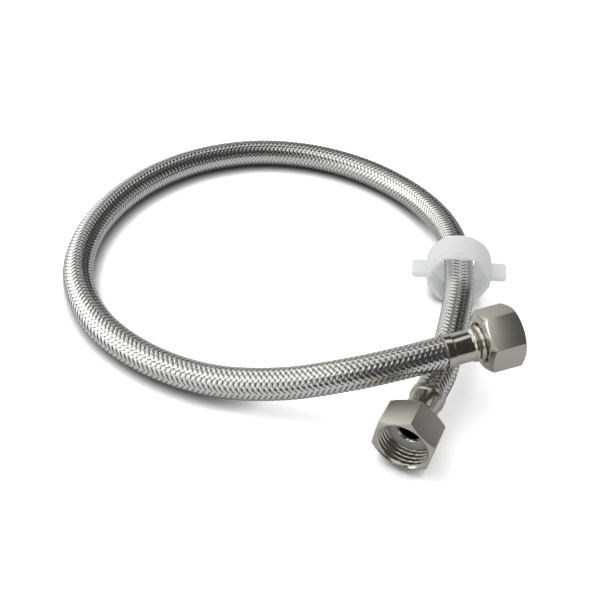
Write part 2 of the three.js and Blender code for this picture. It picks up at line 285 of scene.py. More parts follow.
class SleeveSizes(bpy.types.PropertyGroup):
    """Sizes of the loose wing sleeve"""

    radius: length_value("Radius", "Outside radius of the drum", 14.0)
    length: length_value("Length", "Length of the sleeve", 13.4)
    web: length_value("Web", "Thickness of the web at the back", 1.6)
    hole: length_value("Hole", "Radius of the hole in the web", 6.9)
    socket: length_value("Socket", "Distance across the flats of the socket", 22.3)
    collar: length_value("Collar", "Distance across the flats of the collar", 26.1)
    collar_length: length_value("Collar length", "Length of the hexagonal collar", 1.6)
    collar_step: length_value("Collar step", "How far the collar's corners lie inside the drum", 0.4)
    shoulder: length_value("Shoulder", "Length of the slope behind the collar", 0.9)
    wing_reach: length_value("Wing reach", "Distance from the axis to a wing's tip", 20.3)
    wing_thickness: length_value("Wing thickness", "Thickness of a wing", 3.1)
    wing_length: length_value("Wing length", "Length of a wing along the axis", 8.8)
    wing_back: length_value("Wing back", "Where a wing begins", 2.2)


class Finishes(bpy.types.PropertyGroup):
    """Colours of the finishes"""

    wire: colour_value("Wire", "Bright steel wire of the braid", (0.9, 0.895, 0.875))
    nickel: colour_value("Nickel", "Nickel plating of the nuts and ferrules", (0.635, 0.61, 0.55))
    tube: colour_value("Tube", "Black rubber of the tube", (0.012, 0.012, 0.013))
    seal: colour_value("Seal", "Grey rubber of the seals", (0.42, 0.425, 0.43))
    plastic: colour_value("Plastic", "Translucent white plastic of the wing sleeve", (0.80, 0.81, 0.81))
    floor: colour_value("Floor", "Pale floor", (0.93, 0.93, 0.93))
    floor_seen: FloatProperty(
        name="Floor seen", description="How much paler the floor is to the camera", default=0.8, min=0
    )
    floor_mirrored: FloatProperty(
        name="Floor mirrored", description="How much darker the floor is to the metal",
        default=0.32, min=0, max=1,
    )


class Value:
    """A shader output that ordinary arithmetic can be written on."""

    def __init__(self, graph, output):
        self.graph = graph
        self.output = output

    def math(self, operation, first, second=0.0, clamp=False):
        """The result of one Math node"""
        settings = {"operation": operation, "use_clamp": clamp}
        return self.graph.node("ShaderNodeMath", settings, {0: first, 1: second})["Value"]

    def __add__(self, other):
        return self.math("ADD", self, other)

    def __radd__(self, other):
        return self.math("ADD", other, self)

    def __sub__(self, other):
        return self.math("SUBTRACT", self, other)

    def __rsub__(self, other):
        return self.math("SUBTRACT", other, self)

    def __mul__(self, other):
        return self.math("MULTIPLY", self, other)

    def __rmul__(self, other):
        return self.math("MULTIPLY", other, self)

    def __truediv__(self, other):
        return self.math("DIVIDE", self, other)

    def __abs__(self):
        return self.math("ABSOLUTE", self)

    def __pow__(self, power):
        return self.math("POWER", self, power)

    def sine(self):
        return self.math("SINE", self)

    def clamped(self):
        return self.math("ADD", self, 0.0, clamp=True)


class Graph:
    """The node tree of one material or of the world."""

    def __init__(self, owner):
        owner.use_nodes = True
        self.tree = owner.node_tree
        self.tree.nodes.clear()

    def node(self, kind, settings=None, inputs=None):
        """One node with its settings made first, then the values or links of its sockets"""
        made = self.tree.nodes.new(kind)
        for key, value in (settings or {}).items():
            setattr(made, key, value)
        for key, value in (inputs or {}).items():
            socket = made.inputs[key]
            if isinstance(value, Value):
                self.tree.links.new(value.output, socket)
            elif socket.type == "RGBA" and len(value) == 3:
                socket.default_value = (*value, 1.0)
            else:
                socket.default_value = value
        return Outputs(self, made)

    def mixed(self, factor, first, second):
        """A colour between two colours"""
        settings = {"data_type": "RGBA"}
        return self.node("ShaderNodeMix", settings, {0: factor, 6: first, 7: second})[2]

    def blended(self, factor, first, second):
        """A shader between two shaders"""
        return self.node("ShaderNodeMixShader", {}, {0: factor, 1: first, 2: second})[0]

    def dotted(self, first, second):
        """The dot product of two vectors"""
        settings = {"operation": "DOT_PRODUCT"}
        return self.node("ShaderNodeVectorMath", settings, {0: first, 1: second})["Value"]

    def background(self, colour, strength):
        """Light of one colour that comes from all round"""
        inputs = {"Color": colour, "Strength": strength}
        return self.node("ShaderNodeBackground", {}, inputs)["Background"]

    def end_in(self, shader, output="ShaderNodeOutputMaterial"):
        """Ends the tree in a shader"""
        self.node(output, {}, {"Surface": shader})


class Outputs:
    """The outputs of one node, by name or number."""

    def __init__(self, graph, made):
        self.graph = graph
        self.made = made

    def __getitem__(self, key):
        return Value(self.graph, self.made.outputs[key])


def new_material(name):
    """A material and its empty node tree"""
    material = bpy.data.materials.new(name)
    return material, Graph(material)


def finish_material(graph, surface):
    """Ends a material in a Principled shader with the given sockets"""
    graph.end_in(graph.node("ShaderNodeBsdfPrincipled", {}, surface)["BSDF"])


def noise_value(graph, scale, detail=3.0, roughness=0.5):
    """Soft random grey over a piece; a larger scale gives a finer pattern"""
    place = graph.node("ShaderNodeTexCoord")["Object"]
    inputs = {"Scale": scale, "Detail": detail, "Roughness": roughness, "Vector": place}
    return graph.node("ShaderNodeTexNoise", {}, inputs)["Fac"]


def shade(colour, factor, lift=0.0):
    """A colour made darker or paler, and no paler than white"""
    return tuple(min(1.0, factor * c + lift) for c in colour)


def bump(graph, height, distance, strength):
    """The normal that a fine relief of a depth in metres gives"""
    inputs = {"Height": height, "Distance": distance, "Strength": strength}
    return graph.node("ShaderNodeBump", {}, inputs)["Normal"]


def wire_material(colours):
    """Fine parallel steel wires: grooves run along each flat strand, and follow its own UV map. Painted
    shade darkens the colour in the grooves and along each strand's two edges
    """
    material, graph = new_material("braid_wire")
    uv = graph.node("ShaderNodeTexCoord")["UV"]
    parts = graph.node("ShaderNodeSeparateXYZ", {}, {0: uv})
    across = parts["X"]
    # The groove wave gives the wires' relief, and its low parts also darken the colour as painted shade
    groove = abs((across * (WIRES_ACROSS * math.pi)).sine())
    grain = noise_value(graph, scale=700.0, detail=2.0)
    # Painted shade: the colour darkens sharply towards each strand's two edges, where the strands dive
    # under one another
    edge_shade_sharpness = 7.0
    edge = abs(across * 2.0 - 1.0) ** edge_shade_sharpness
    middle_tone, groove_shade_share, grain_share, edge_shade_share = 0.65, 0.25, 0.25, 1.4
    tone = (groove * groove_shade_share + grain * grain_share + middle_tone - edge * edge_shade_share).clamped()
    least_rough, rough_range = 0.14, 0.1
    surface = {
        # The dark end of this mix is the colour in full painted shade
        "Base Color": graph.mixed(tone, shade(colours.wire, 0.1), tuple(colours.wire)),
        "Metallic": 1.0,
        "Roughness": least_rough + rough_range * grain,
        "Normal": bump(graph, groove, distance=0.03 * MM, strength=0.4),
    }
    finish_material(graph, surface)
    return material


def nickel_material(name, colours, roughness, line_depth):
    """Plated metal with faint lines from turning and small differences in its gloss"""
    material, graph = new_material(name)
    soft = noise_value(graph, scale=160.0, detail=3.0)
    fine = noise_value(graph, scale=2600.0, detail=2.0)
    least_tone, soft_share, fine_share = 0.2, 0.5, 0.3
    tone = (soft * soft_share + fine * fine_share + least_tone).clamped()
    rough_range = 0.08
    surface = {
        "Base Color": graph.mixed(tone, shade(colours.nickel, 0.86), shade(colours.nickel, 1.04)),
        "Metallic": 1.0,
        "Roughness": roughness + rough_range * soft,
        "Normal": bump(graph, fine, distance=line_depth, strength=0.35),
    }
    finish_material(graph, surface)
    return material


def rubber_material(name, colour, roughness, refraction=1.5):
    """Matte rubber with a fine grain and a little dust"""
    material, graph = new_material(name)
    grain = noise_value(graph, scale=1800.0, detail=4.0, roughness=0.6)
    patch = noise_value(graph, scale=220.0)
    patch_share, grain_share = 0.6, 0.4
    tone = (patch * patch_share + grain * grain_share).clamped()
    rough_range = 0.15
    surface = {
        "Base Color": graph.mixed(tone, shade(colour, 0.86), shade(colour, 1.12, lift=0.004)),
        "Roughness": roughness + rough_range * grain,
        "IOR": refraction,
        "Normal": bump(graph, grain, distance=0.04 * MM, strength=0.5),
    }
    finish_material(graph, surface)
    return material


def plastic_material(colours):
    """Milky moulded plastic that lets light through, with a faint flow pattern and a faint painted glow"""
    material, graph = new_material("milky_plastic")
    flow = noise_value(graph, scale=120.0, detail=2.0)
    grain = noise_value(graph, scale=1500.0, detail=3.0)
    pale = shade(colours.plastic, 1.05)
    least_rough, rough_range = 0.3, 0.15
    surface = {
        "Base Color": graph.mixed(flow, shade(colours.plastic, 0.93), pale),
        "Roughness": least_rough + rough_range * grain,
        "Subsurface Weight": 0.8,
        "Subsurface Radius": (0.9, 0.95, 1.0),
        "Subsurface Scale": 4.0 * MM,
        "IOR": 1.5,
        # Painted light: the plastic glows faintly in its own pale colour, which brightens it all over,
        # shaded sides too
        "Emission Color": pale,
        "Emission Strength": 0.16,
        "Normal": bump(graph, grain, distance=0.03 * MM, strength=0.3),
    }
    solid = graph.node("ShaderNodeBsdfPrincipled", {}, surface)["BSDF"]
    through = graph.node("ShaderNodeBsdfTranslucent", {}, {"Color": pale})["BSDF"]
    share_through = 0.45
    graph.end_in(graph.blended(share_through, solid, through))
    return material


def finished_object(name, bm, materials, sharp=SHARP_ANGLE):
    """A mesh object at the origin from a bmesh, smooth but for its sharp edges"""
    mesh = bpy.data.meshes.new(name)
    for face in bm.faces:
        face.smooth = True
    bm.to_mesh(mesh)
    bm.free()
    for material in materials:
        mesh.materials.append(material)
    mesh.set_sharp_from_angle(angle=math.radians(sharp))
    made = bpy.data.objects.new(name, mesh)
    bpy.context.scene.collection.objects.link(made)
    return made


def axis_frame(position, heading, pitch):
    """The matrix whose +Z points along a heading and pitch, with +Y as near up as it can be"""
    h = math.radians(heading)
    p = math.radians(pitch)
    z = Vector((math.cos(h) * math.cos(p), math.sin(h) * math.cos(p), math.sin(p)))
    x = Vector((0, 0, 1)).cross(z).normalized()
    y = z.cross(x)
    turn = Matrix((x, y, z)).transposed().to_4x4()
    return Matrix.Translation(Vector(position)) @ turn


def end_frame(letter):
    """The matrix of one end of the braid, whose +Z points out of the hose"""
    end = ENDS[letter]
    return axis_frame(end["exit"], end["heading"], end["pitch"])


def rounded(profile):
    """Profile points (radius, height, corner) in metres, with each corner replaced by a small arc"""
    points = []
    count = len(profile)
    for index, (radius, height, corner) in enumerate(profile):
        here = Vector((radius, height))
        if not corner:
            points.append(here)
            continue
        before = Vector(profile[index - 1][:2]) - here
        after = Vector(profile[(index + 1) % count][:2]) - here
        reach = min(corner, CORNER_SHARE * min(before.length, after.length))
        start = here + before.normalized() * reach
        end = here + after.normalized() * reach
        for step in range(CORNER_STEPS + 1):
            t = step / CORNER_STEPS
            points.append(start * (1 - t) ** 2 + here * (2 * t * (1 - t)) + end * t**2)
    return points


def turned_bmesh(profile):
    """A closed profile of (radius, height, corner), spun once round Z"""
    bm = bmesh.new()
    verts = [bm.verts.new((p.x, 0.0, p.y)) for p in rounded(profile)]
    edges = [bm.edges.new((a, b)) for a, b in zip(verts, verts[1:] + verts[:1])]
    bmesh.ops.spin(
        bm, geom=verts + edges, cent=(0, 0, 0), axis=(0, 0, 1), dvec=(0, 0, 0),
        angle=2 * math.pi, steps=TURNED_SIDES, use_merge=True,
    )
    bmesh.ops.remove_doubles(bm, verts=bm.verts, dist=1e-8)
    bmesh.ops.recalc_face_normals(bm, faces=bm.faces)
    return bm


def smooth_route():
    """Centripetal curve through the route's points, as dense arrays of places and lengths"""
    points = np.array(ROUTE)
    first = 2 * points[0] - points[1]
    last = 2 * points[-1] - points[-2]
    points = np.vstack([first, points, last])
    dense = []
    steps = np.linspace(0, 1, ROUTE_STEPS, endpoint=False)[:, None]
    for p0, p1, p2, p3 in zip(points, points[1:], points[2:], points[3:]):
        d0, d1, d2 = (np.sqrt(np.linalg.norm(b - a)) for a, b in ((p0, p1), (p1, p2), (p2, p3)))
        m1 = ((p1 - p0) / d0 - (p2 - p0) / (d0 + d1) + (p2 - p1) / d1) * d1
        m2 = ((p2 - p1) / d1 - (p3 - p1) / (d1 + d2) + (p3 - p2) / d2) * d1
        a = 2 * p1 - 2 * p2 + m1 + m2
        b = -3 * p1 + 3 * p2 - 2 * m1 - m2
        dense.append(p1 + m1 * steps + b * steps**2 + a * steps**3)
    dense.append(points[-2][None])
    places = np.vstack(dense)
    lengths = np.concatenate([[0], np.cumsum(np.linalg.norm(np.diff(places, axis=0), axis=1))])
    return places, lengths


def normalised(vectors):
    """Vectors made one unit long"""
    return vectors / np.linalg.norm(vectors, axis=-1, keepdims=True)


class HoseLine:
    """The hose's centre line with a frame that turns as little as it can along it"""

    def __init__(self):
        self.places, self.lengths = smooth_route()
        self.total = self.lengths[-1]
        self.tangents = normalised(np.gradient(self.places, self.lengths, axis=0))
        side = np.array([0.0, 0.0, 1.0])
        sides = []
        for tangent in self.tangents:
            side = side - tangent * side.dot(tangent)
            side = side / np.linalg.norm(side)
            sides.append(side)
        self.sides = np.array(sides)

    def sample(self, values):
        """Places, tangents, sides and cross sides at distances along the line, straight past its ends"""
        inside = np.clip(values, 0, self.total)
        place, tangent, side = (
            np.stack([np.interp(inside, self.lengths, row[:, k]) for k in range(3)], axis=-1)
            for row in (self.places, self.tangents, self.sides)
        )
        tangent = normalised(tangent)
        side = normalised(side - tangent * (side * tangent).sum(-1, keepdims=True))
        place = place + tangent * (values - inside)[..., None]
        return place, tangent, side, np.cross(tangent, side)

    def on_tube(self, values, angles, radii):
        """Places at distances along the line, angles round it and radii from it"""
        place, _, side, cross = self.sample(values)
        ring = side * np.cos(angles)[..., None] + cross * np.sin(angles)[..., None]
        return place + ring * radii[..., None]


def wound_grid(bm, rows, columns, positions):
    """A grid of faces moved to positions[row][column], whose first and last columns meet"""
    made = bmesh.ops.create_grid(bm, x_segments=columns, y_segments=rows, size=1.0, calc_uvs=True)
    for vert in made["verts"]:
        column = round((vert.co.x + 1) / 2 * columns)
        row = round((vert.co.y + 1) / 2 * rows)
        vert.co = positions[row][column]


def necked(values, line, sizes):
    """How much narrower the hose is at each distance, inside the ferrules"""
    out = np.maximum(np.maximum(-values, values - line.total), 0)
    least = sizes.neck_radius / sizes.braid_radius
    t = np.clip(out / sizes.neck_length, 0, 1)
    return 1 - (1 - least) * t * t * (3 - 2 * t)


def strand_bmesh(line, sizes, hand):
    """All strands that are wound one way: flat bundles that go over two and under two of the others.

    The wave that a strand follows is flattened, so that it lies level where it passes over or under."""
    bm = bmesh.new()
    bm.loops.layers.uv.new("strand")
    count = sizes.strands
    crossing = sizes.pitch / (2 * count)
    whole = line.total + 2 * STRAND_OVERRUN
    rows = int(math.ceil(whole / (crossing / ROWS_PER_CROSSING)))
    values = np.linspace(-STRAND_OVERRUN, line.total + STRAND_OVERRUN, rows + 1)
    middle = sizes.braid_radius - sizes.weave_height - sizes.strand_height
    slope = math.atan2(2 * math.pi * middle, sizes.pitch)
    half = sizes.strand_width / 2
    section = np.array(STRAND_SECTION)
    columns = len(section) - 1
    for index in range(count):
        winding = hand * 2 * math.pi * values / sizes.pitch + 2 * math.pi * index / count
        cell = winding * count / math.pi
        wave = np.sin(math.pi / 2 * (cell + 0.5)) * hand
        weave = (1.5 * wave - 0.5 * wave**3) * sizes.weave_height
        across = section[:, 0] * half
        along = values[:, None] - hand * across[None, :] * math.sin(slope)
        angles = winding[:, None] + across[None, :] * math.cos(slope) / middle + sizes.row_turn
        radii = middle + weave[:, None] + section[None, :, 1] * sizes.strand_height
        radii = radii * necked(along, line, sizes)
        spots = line.on_tube(along, angles, radii)
        wound_grid(bm, rows, columns, spots)
    return bm


class BuildBase:
    """What every build operator shares"""

    bl_options = {"REGISTER", "UNDO"}


class HOSE_OT_braid(BuildBase, bpy.types.Operator):
    """Builds the rubber tube and the two sets of steel strands braided over it"""

    bl_idname = "hose.build_braid"
    bl_label = "Tube and braid"

    def execute(self, context):
        sizes = context.scene.hose_sizes
        colours = context.scene.hose_finishes
        line = HoseLine()
        rubber = rubber_material("tube_rubber", tuple(colours.tube), roughness=0.6)
        tube = self.build_tube(line, sizes, rubber)
        wire = wire_material(colours)
        for hand, name in ((1, "braid_right_hand"), (-1, "braid_left_hand")):
            bm = strand_bmesh(line, sizes, hand)
            bmesh.ops.remove_doubles(bm, verts=bm.verts, dist=0.0002 * MM)
            open_edges = [edge for edge in bm.edges if edge.is_boundary]
            bmesh.ops.holes_fill(bm, edges=open_edges, sides=0)
            bmesh.ops.recalc_face_normals(bm, faces=bm.faces)
            piece = finished_object(name, bm, [wire], sharp=75)
            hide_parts("braid_sleeve")
            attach(piece, "hose")
        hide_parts("inner_tube")
        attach(tube, "hose")
        return {"FINISHED"}

    def build_tube(self, line, sizes, rubber):
        """The rubber tube, from inside one ferrule to inside the other"""
        values = np.linspace(-TUBE_OVERRUN, line.total + TUBE_OVERRUN, TUBE_ROWS + 1)
        angles = np.linspace(0, 2 * math.pi, TUBE_COLUMNS + 1)
        along, around = np.meshgrid(values, angles, indexing="ij")
        outside = sizes.tube_radius * necked(along, line, sizes)
        inside = np.full(along.shape, sizes.tube_bore)
        bm = bmesh.new()
        for radii in (outside, inside):
            wound_grid(bm, TUBE_ROWS, TUBE_COLUMNS, line.on_tube(along, around, radii))
        bmesh.ops.remove_doubles(bm, verts=bm.verts, dist=0.0001 * MM)
        for place in line.sample(np.array([-TUBE_OVERRUN, line.total + TUBE_OVERRUN]))[0]:
            end = Vector(place)
            rings = [
                edge for edge in bm.edges
                if edge.is_boundary and (edge.verts[0].co - end).length < 2 * sizes.tube_radius
            ]
            bmesh.ops.bridge_loops(bm, edges=rings)
        bmesh.ops.recalc_face_normals(bm, faces=bm.faces)
        return finished_object("rubber_tube", bm, [rubber])


class HOSE_OT_fittings(BuildBase, bpy.types.Operator):
    """Builds the ferrule, nipple and flat seal of both ends"""

    bl_idname = "hose.build_fittings"
    bl_label = "Ferrules, nipples and seals"

    def execute(self, context):
        sizes = context.scene.fitting_sizes
        colours = context.scene.hose_finishes
        polished = nickel_material("polished_nickel", colours, roughness=0.13, line_depth=0.01 * MM)
        # Painted shade: black, barely reflecting rubber that stands for the shade deep inside the nipples'
        # bores
        bore = rubber_material("bore_painted_shade", (0.0, 0.0, 0.0), roughness=0.8, refraction=1.04)
        seal = rubber_material("seal_rubber", tuple(colours.seal), roughness=0.32)
        for letter in ENDS:
            place = end_frame(letter)
            self.add_piece("ferrule", letter, self.ferrule(sizes), place, [polished], "nickel_plate")
            self.add_piece("nipple", letter, self.nipple(sizes), place, [polished, bore], "nickel_plate")
            self.add_piece("seal_washer", letter, self.seal(sizes), place, [seal], "seal_rubber")
        return {"FINISHED"}

    def add_piece(self, word, letter, bm, place, materials, slot):
        """Puts a turned piece at its end of the hose and hides the imported solid that it stands for"""
        bmesh.ops.transform(bm, matrix=place, verts=bm.verts)
        piece = finished_object(f"{word}_{letter}_detailed", bm, materials)
        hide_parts(f"{word}_{letter}")
        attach(piece, "hose")

    def ferrule(self, sizes):
        """Lip, crimp with soft flats from the crimping jaws, bead, groove and turned-in end ring"""
        wall = sizes.ferrule_wall
        crimp = sizes.crimp_radius
        profile = [
            (sizes.lip_radius - wall, sizes.ferrule_start, 0.1 * MM),
            (sizes.lip_radius, sizes.ferrule_start, 0.15 * MM),
            (sizes.lip_radius, sizes.lip_end, 0.2 * MM),
            (crimp, sizes.lip_end + LIP_SLOPE, 0.15 * MM),
        ]
        ring = sizes.bead_radius - RING_INSET
        crests = [
            (crimp, sizes.bead_start), (sizes.bead_radius, sizes.bead_crest),
            (sizes.bead_radius - sizes.groove_depth, sizes.groove_place), (ring, sizes.ring_crest),
        ]
        outside = [crests[0]]
        for (radius, height), (next_radius, next_height) in zip(crests, crests[1:]):
            for step in range(1, SWELL_STEPS + 1):
                rise = (1 - math.cos(math.pi * step / SWELL_STEPS)) / 2
                swollen = radius + (next_radius - radius) * rise
                outside.append((swollen, height + (next_height - height) * step / SWELL_STEPS))
        inside = [(radius - wall, height) for radius, height in outside]
        reach = ring - FERRULE_HOLE
        rise = sizes.ferrule_end - sizes.ring_crest
        for step in range(1, CLOSE_STEPS + 1):
            angle = math.pi * step / (2 * CLOSE_STEPS)
            for side, cut in ((outside, 0), (inside, wall)):
                radius = FERRULE_HOLE + (reach - cut) * math.cos(angle)
                side.append((radius, sizes.ring_crest + (rise - cut) * math.sin(angle)))
        profile.extend((radius, height, 0) for radius, height in outside + inside[::-1])
        profile.append((crimp - wall, CRIMP_INSIDE, 0))
        bm = turned_bmesh(profile)
        self.press(bm, sizes.bead_start + JAW_PAST_BEAD)
        return bm

    def press(self, bm, stop):
        """Soft flats round the crimp, which fade out at its two ends"""
        for vert in bm.verts:
            fade_in = (vert.co.z - JAW_START) / JAW_FADE_IN
            fade_out = (stop - vert.co.z) / JAW_FADE_OUT
            amount = min(1.0, fade_in, fade_out)
            if amount > 0:
                angle = math.atan2(vert.co.y, vert.co.x) * JAWS
                flat = JAW_DEPTH * (1 - math.cos(angle)) * amount
                radius = vert.co.xy.length
                scale = (radius - flat) / radius
                vert.co.x *= scale
                vert.co.y *= scale

    def nipple(self, sizes):
        """Tail, neck, flange and rim turned as one piece, with painted shade deep in the bore: a black
        matte material on its inside wall
        """
        front = sizes.flange_back + sizes.flange_length
        end = sizes.spigot_end
        rim = sizes.spigot_radius - RIM_WIDTH
        mouth = sizes.spigot_radius - MOUTH_INSET
        profile = [
            (TAIL_RADIUS, TAIL_START, 0.2 * MM), (TAIL_RADIUS, NECK_START, 0),
            (NECK_RADIUS, NECK_START, 0.2 * MM), (NECK_RADIUS, sizes.flange_back, 0.3 * MM),
            (sizes.flange_radius, sizes.flange_back, 0.2 * MM), (sizes.flange_radius, front, 0.2 * MM),
            (sizes.spigot_radius, front, 0.1 * MM), (sizes.spigot_radius, end, 0.1 * MM),
            (rim, end, 0.12 * MM), (mouth, end - MOUTH_CHAMFER, 0.3 * MM),
            (mouth - MOUTH_TAPER, end - MOUTH_DEPTH, 0.3 * MM),
            (sizes.bore_radius, end - BORE_DEPTH, 0.3 * MM), (sizes.bore_radius, TAIL_START, 0),
        ]
        bm = turned_bmesh(profile)
        for face in bm.faces:
            middle = face.calc_center_median()
            inward = face.normal.xy.dot(middle.xy) < 0
            # Painted shade: inward faces deeper than the mouth get the black material
            if inward and middle.xy.length < mouth + PAINTED_SHADE_REACH and middle.z < end - PAINTED_SHADE_DEPTH:
                face.material_index = 1
        return bm

    def seal(self, sizes):
        """Flat rubber ring with softened edges"""
        inner = sizes.spigot_radius + SEAL_GAP
        profile = [
            (inner, sizes.seal_back, 0), (sizes.seal_radius, sizes.seal_back, 0.2 * MM),
            (sizes.seal_radius, sizes.seal_front, 0.25 * MM), (inner, sizes.seal_front, 0.15 * MM),
        ]
        return turned_bmesh(profile)


def hexagon_radius(angle, across_flats, corner):
    """Radius of a hexagon with softened corners, at an angle from the middle of a flat"""
    inner = across_flats / 2
    local = abs((angle + HALF_SIDE) % SIDE_ANGLE - HALF_SIDE)
    centre = (inner - corner) / math.cos(HALF_SIDE)
    tangent = math.atan2((inner - corner) * math.tan(HALF_SIDE), inner)
    if local <= tangent:
        return inner / math.cos(local)
    lean = HALF_SIDE - local
    return centre * math.cos(lean) + math.sqrt(max(corner**2 - (centre * math.sin(lean)) ** 2, 0.0))


def column_angles(columns):
    """Angles round a hexagon, from the middle of a flat, closer together near its corners"""
    per_side = columns // HEXAGON_SIDES
    angles = []
    for column in range(columns):
        side, step = divmod(column, per_side)
        t = 2 * step / per_side - 1
        eased = math.copysign(1 - (1 - abs(t)) ** CORNER_CROWDING, t)
        angles.append(SIDE_ANGLE * side + HALF_SIDE * eased)
    return angles


def shaped_columns(columns, profile_at):
    """A closed ring whose profile differs from angle to angle, one column of a grid for each"""
    angles = column_angles(columns)
    profiles = [profile_at(angle) for angle in angles]
    rows = len(profiles[0])
    bm = bmesh.new()
    positions = []
    for row in range(rows + 1):
        line = []
        for column in range(columns + 1):
            radius, height = profiles[column % columns][row % rows]
            angle = angles[column % columns]
            line.append((radius * math.cos(angle), radius * math.sin(angle), height))
        positions.append(line)
    wound_grid(bm, rows, columns, positions)
    bmesh.ops.remove_doubles(bm, verts=bm.verts, dist=0.002 * MM)
    bmesh.ops.dissolve_degenerate(bm, edges=bm.edges, dist=0.001 * MM)
    bmesh.ops.recalc_face_normals(bm, faces=bm.faces)
    return bm


class HOSE_OT_nuts(BuildBase, bpy.types.Operator):
    """Builds both swivel nuts with their pipe threads"""

    bl_idname = "hose.build_nuts"
    bl_label = "Swivel nuts"

    def execute(self, context):
        sizes = context.scene.fitting_sizes
        colours = context.scene.hose_finishes
        satin = nickel_material("satin_nickel", colours, roughness=0.4, line_depth=0.02 * MM)
        bright = nickel_material("cut_nickel", colours, roughness=0.14, line_depth=0.01 * MM)
        cut_radius = sizes.nut_flats / 2 - CUT_FACE_INSET
        for letter, end in ENDS.items():
            bm = shaped_columns(NUT_COLUMNS, lambda angle: self.column(sizes, angle))
            for face in bm.faces:
                if face.calc_center_median().xy.length < cut_radius:
                    face.material_index = 1
            turn = Matrix.Rotation(SIDE_ANGLE - math.radians(end["turn"]), 4, "Z")
            slide = Matrix.Translation((0, 0, sizes.nut_forward - end["slide"]))
            bmesh.ops.transform(bm, matrix=end_frame(letter) @ slide @ turn, verts=bm.verts)
            piece = finished_object(f"swivel_nut_{letter}_detailed", bm, [satin, bright])
            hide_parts(f"swivel_nut_{letter}")
            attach(piece, f"nut_{letter}")
        return {"FINISHED"}

    def column(self, sizes, angle):
        """Profile of the nut at one angle: round the outside from the back, and back down the thread"""
        length = sizes.nut_length
        outer = hexagon_radius(angle, sizes.nut_flats, NUT_CORNER)
        back_face = sizes.nut_flats / 2 - sizes.back_edge
        front_face = sizes.nut_flats / 2 - sizes.front_edge
        back = (outer - back_face) * NUT_SLOPE
        front = (outer - front_face) * NUT_SLOPE
        soft = NUT_SOFT_EDGE
        hole = sizes.nut_hole
        mouth = sizes.thread_minor + sizes.mouth_edge
        points = [
            (hole, sizes.nut_wall - BACK_SOFT_EDGE), (hole, COUNTERSINK), (hole + COUNTERSINK, 0.0),
            (back_face - soft, 0.0), (back_face + 0.5 * soft, 0.4 * soft),
            (outer - soft, back - soft * NUT_SLOPE), (outer, back + soft),
            (outer, length - front - soft), (outer - 0.3 * soft, length - front),
            (front_face + 0.3 * soft, length - 0.3 * soft), (front_face - soft, length),
            (mouth + soft, length), (mouth, length - 0.5 * soft),
        ]
        start = length - THREAD_LEAD
        depth = sizes.thread_major - sizes.thread_minor
        for row in range(THREAD_ROWS + 1):
            height = start + (THREAD_STOP - start) * row / THREAD_ROWS
            phase = (height / sizes.thread_pitch - angle / (2 * math.pi)) % 1.0
            ridge = min(1.0, max(0.0, abs(2 * phase - 1) * RIDGE_SLOPE - RIDGE_FLAT))
            fade = min(1.0, (height - THREAD_STOP) / THREAD_FADE)
            radius = sizes.thread_major - (1 - ridge) * depth * fade
            cone = mouth - (length - height)
            points.append((max(radius, cone), height))
        points.append((sizes.thread_major, sizes.nut_wall + INSIDE_CORNER))
        points.append((sizes.thread_major - INSIDE_CORNER, sizes.nut_wall))
        points.append((hole + BACK_SOFT_EDGE, sizes.nut_wall))
        return points


